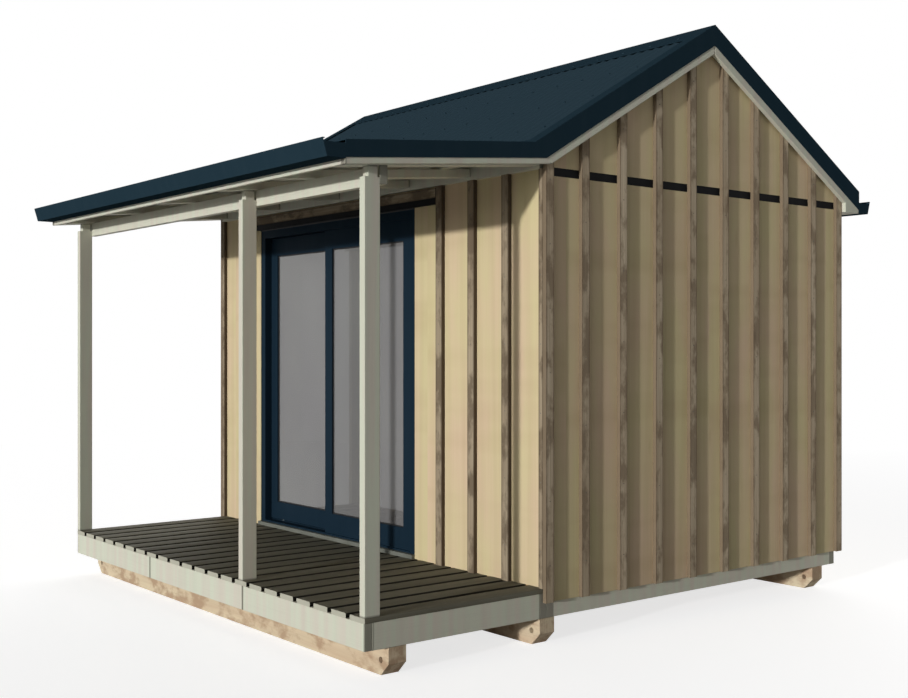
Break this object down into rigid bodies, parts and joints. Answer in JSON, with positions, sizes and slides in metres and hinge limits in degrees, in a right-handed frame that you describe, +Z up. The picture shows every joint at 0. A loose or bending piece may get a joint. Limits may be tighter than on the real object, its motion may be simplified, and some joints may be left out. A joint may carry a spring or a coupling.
{
  "type": "cabin",
  "caption": "Small portable gable cabin clad in plywood and battens on timber skids, with a sliding glass door onto a roofed veranda deck.",
  "frame": {"origin": "on the ground, under the middle of the whole cabin's box", "axes": "+X along the ridge, +Y from the veranda side to the back, +Z up"},
  "size_m": [3.742, 4.4314, 3.5553],
  "materials": {
    "skid_timber": "rough sawn",
    "painted_boards": "satin paint",
    "framing_pine": "planed",
    "floor_ply": "sealed",
    "deck_timber": "weathered",
    "wall_lining": "clear",
    "cladding_ply": "stained",
    "batten_timber": "stained",
    "dark_flashing": "satin",
    "roof_metal": "satin",
    "joinery": "powder coat",
    "glazing": "clear",
    "roller_plastic": "matte"
  },
  "bodies": {
    "cabin": {"skid_front": "skid_timber", "skid_middle": "skid_timber", "skid_back": "skid_timber", "floor_end_boards": "painted_boards", "floor_side_boards": "painted_boards", "deck_end_boards": "painted_boards", "deck_back_board": "painted_boards", "deck_fascia": "painted_boards", "door_sill": "painted_boards", "barge_boards": "painted_boards", "veranda_verge_boards": "painted_boards", "veranda_fascia": "painted_boards", "back_fascia": "painted_boards", "back_soffit": "painted_boards", "veranda_ledger": "painted_boards", "veranda_post_left": "painted_boards", "veranda_post_middle": "painted_boards", "veranda_post_right": "painted_boards", "veranda_beam": "painted_boards", "veranda_rafters": "painted_boards", "veranda_purlins": "painted_boards", "floor_joists": "framing_pine", "rafters": "framing_pine", "ridge_board": "framing_pine", "roof_purlins": "framing_pine", "floor_panel": "floor_ply", "decking": "deck_timber", "front_wall_left": "wall_lining", "front_wall_right": "wall_lining", "front_wall_head": "wall_lining", "back_wall": "wall_lining", "right_wall": "wall_lining", "left_wall": "wall_lining", "front_cladding": "cladding_ply", "back_cladding": "cladding_ply", "right_cladding": "cladding_ply", "left_cladding": "cladding_ply", "front_battens": "batten_timber", "back_battens": "batten_timber", "right_battens": "batten_timber", "left_battens": "batten_timber", "gable_flashings": "dark_flashing", "door_head_flashing": "dark_flashing", "roof_sheet_front": "roof_metal", "roof_sheet_back": "roof_metal", "veranda_roof_sheet": "roof_metal", "ridge_cap": "roof_metal", "barge_flashings": "roof_metal", "veranda_verge_flashings": "roof_metal", "roof_fold_flashing": "roof_metal", "back_gutter": "roof_metal", "veranda_gutter": "roof_metal", "door_frame": "joinery", "fixed_leaf": "joinery", "window_frame": "joinery", "fixed_leaf_glass": "glazing", "window_glass": "glazing"},
    "sliding_door": {"sliding_leaf": "joinery", "sliding_leaf_glass": "glazing", "door_rollers": "roller_plastic"}
  },
  "joints": [
    {"name": "door_slide", "type": "slide", "parent": "cabin", "child": "sliding_door", "axis": [1, 0, 0], "range_m": [0, 0.783]}
  ]
}
